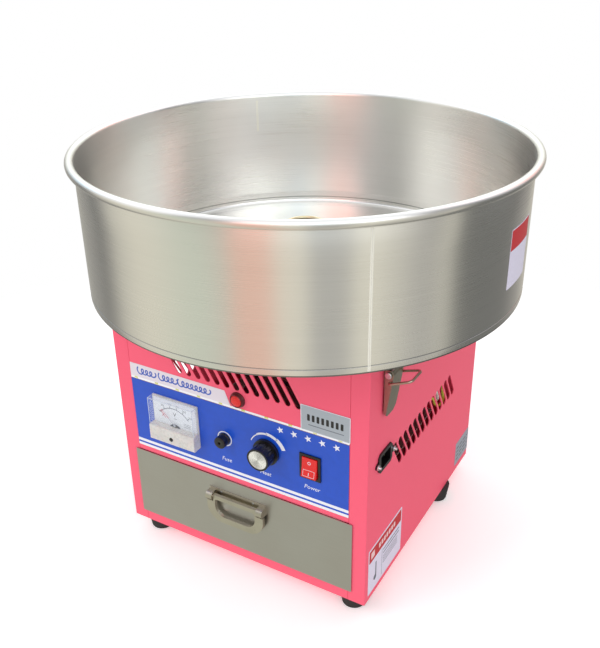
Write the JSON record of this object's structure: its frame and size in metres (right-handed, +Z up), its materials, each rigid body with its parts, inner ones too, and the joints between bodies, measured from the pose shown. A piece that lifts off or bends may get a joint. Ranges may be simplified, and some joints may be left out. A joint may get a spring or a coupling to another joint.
{
  "type": "cotton candy machine",
  "caption": "Bench-top cotton candy machine: pink sheet-metal case, stainless bowl with a spinner head, control panel, meter and drawer.",
  "frame": {"origin": "on the surface under the feet, on the spinner's axis, which is the centre of the bowl's rim seen from above", "axes": "+Z up along the spinner's axis; the control panel and the drawer face -Y; +X is the side with the mains inlet"},
  "size_m": [0.5199, 0.52, 0.4944],
  "materials": {
    "pink_coat": "satin powder coat",
    "printed_film": "printed film",
    "black_rubber": "matt",
    "screw_steel": "bright plated",
    "brushed_stainless": "brushed",
    "bail_wire": "drawn wire",
    "brass": "turned",
    "galvanised_steel": "zinc plated",
    "turned_steel": "turned",
    "cast_aluminium": "as spun or cast",
    "heater_alloy": "oxidised",
    "mica": "matt",
    "black_phenolic": "moulded",
    "carbon": "matt",
    "ivory_plastic": "moulded",
    "clear_plastic": "clear",
    "white_dial": "printed",
    "red_paint": "painted",
    "glass": "clear",
    "red_plastic": "moulded",
    "earth_sleeve": "extruded"
  },
  "bodies": {
    "case": {"base_plate": "pink_coat", "left_side_panel": "pink_coat", "right_side_panel": "pink_coat", "front_panel": "pink_coat", "rear_panel": "pink_coat", "deck_plate": "pink_coat", "control_overlay": "printed_film", "rubber_feet": "black_rubber", "drive_belt": "black_rubber", "machine_screws": "screw_steel", "latch_base_left": "brushed_stainless", "latch_base_right": "brushed_stainless", "latch_pins": "brass", "inlet_pins": "brass", "drawer_runners": "galvanised_steel", "motor_bracket": "galvanised_steel", "spindle_bearings": "turned_steel", "bearing_housing": "cast_aluminium", "motor_body": "cast_aluminium", "brush_holder": "black_phenolic", "fuse_holder": "black_phenolic", "heat_controller": "black_phenolic", "mains_inlet": "black_phenolic", "switch_housing": "black_phenolic", "carbon_brushes": "carbon", "meter_case": "ivory_plastic", "meter_cover": "clear_plastic", "meter_dial": "white_dial", "indicator_lamp": "red_plastic", "earth_lead": "earth_sleeve"},
    "bowl": {"bowl_wall": "brushed_stainless", "bowl_floor": "brushed_stainless", "bowl_catches": "brushed_stainless"},
    "spinner": {"spinner_shaft": "turned_steel", "spinner_base": "cast_aluminium", "spinner_cover": "cast_aluminium", "sugar_collar": "brass", "heater_ribbon": "heater_alloy", "ribbon_insulators": "mica", "cover_screws": "turned_steel", "slip_rings": "brass", "slip_ring_sleeve": "black_phenolic", "driven_pulley": "galvanised_steel"},
    "motor_rotor": {"motor_shaft": "turned_steel", "drive_pulley": "galvanised_steel"},
    "drawer": {"drawer_front": "brushed_stainless", "drawer_tray": "brushed_stainless", "drawer_handle_bracket": "brushed_stainless", "handle_screws": "screw_steel"},
    "drawer_handle": {"drawer_handle_loop": "brushed_stainless"},
    "latch_lever_right": {"latch_lever_right": "brushed_stainless"},
    "latch_lever_left": {"latch_lever_left": "brushed_stainless"},
    "latch_bail_right": {"latch_bail_right": "bail_wire"},
    "latch_bail_left": {"latch_bail_left": "bail_wire"},
    "heat_knob": {"heat_knob": "black_phenolic", "control_spindle": "turned_steel"},
    "power_rocker": {"power_rocker": "red_plastic"},
    "meter_needle": {"meter_needle": "red_paint"},
    "fuse_cap": {"fuse_cap": "black_phenolic", "fuse_cartridge": "glass"}
  },
  "joints": [
    {"name": "bowl_lift", "type": "slide", "parent": "case", "child": "bowl", "axis": [0, 0, 1], "range_m": [0, 0.25]},
    {"name": "head_spin", "type": "hinge", "parent": "case", "child": "spinner", "pos_m": [0, 0, 0.36], "axis": [0, 0, 1], "continuous": true},
    {"name": "motor_spin", "type": "hinge", "parent": "case", "child": "motor_rotor", "pos_m": [0, 0.095, 0.2], "axis": [0, 0, 1], "continuous": true},
    {"name": "drawer_slide", "type": "slide", "parent": "case", "child": "drawer", "axis": [0, -1, 0], "range_m": [0, 0.24]},
    {"name": "handle_swing", "type": "hinge", "parent": "drawer", "child": "drawer_handle", "pos_m": [0, -0.1724, 0.108], "axis": [-1, 0, 0], "range_deg": [0, 90]},
    {"name": "latch_right_open", "type": "hinge", "parent": "case", "child": "latch_lever_right", "pos_m": [0.1715, -0.1225, 0.3105], "axis": [0, -1, 0], "range_deg": [0, 75]},
    {"name": "bail_right_swing", "type": "hinge", "parent": "latch_lever_right", "child": "latch_bail_right", "pos_m": [0.1725, -0.1225, 0.301], "axis": [0, -1, 0], "range_deg": [-50, 15]},
    {"name": "latch_left_open", "type": "hinge", "parent": "case", "child": "latch_lever_left", "pos_m": [-0.1715, -0.1225, 0.3105], "axis": [0, 1, 0], "range_deg": [0, 75]},
    {"name": "bail_left_swing", "type": "hinge", "parent": "latch_lever_left", "child": "latch_bail_left", "pos_m": [-0.1725, -0.1225, 0.301], "axis": [0, 1, 0], "range_deg": [-50, 15]},
    {"name": "knob_turn", "type": "hinge", "parent": "case", "child": "heat_knob", "pos_m": [0.0425, -0.17, 0.1926], "axis": [0, 1, 0], "range_deg": [0, 270]},
    {"name": "rocker_press", "type": "hinge", "parent": "case", "child": "power_rocker", "pos_m": [0.0975, -0.1654, 0.1909], "axis": [1, 0, 0], "range_deg": [0, 16]},
    {"name": "needle_swing", "type": "hinge", "parent": "case", "child": "meter_needle", "pos_m": [-0.0809, -0.17, 0.1892], "axis": [0, 1, 0], "range_deg": [0, 90], "stiffness_Nm_per_rad": 0.0002},
    {"name": "fuse_pull", "type": "slide", "parent": "case", "child": "fuse_cap", "axis": [0, -1, 0], "range_m": [0, 0.04]}
  ],
  "couplings": [
    {"joint": "motor_spin", "follows": "head_spin", "ratio": 2}
  ]
}
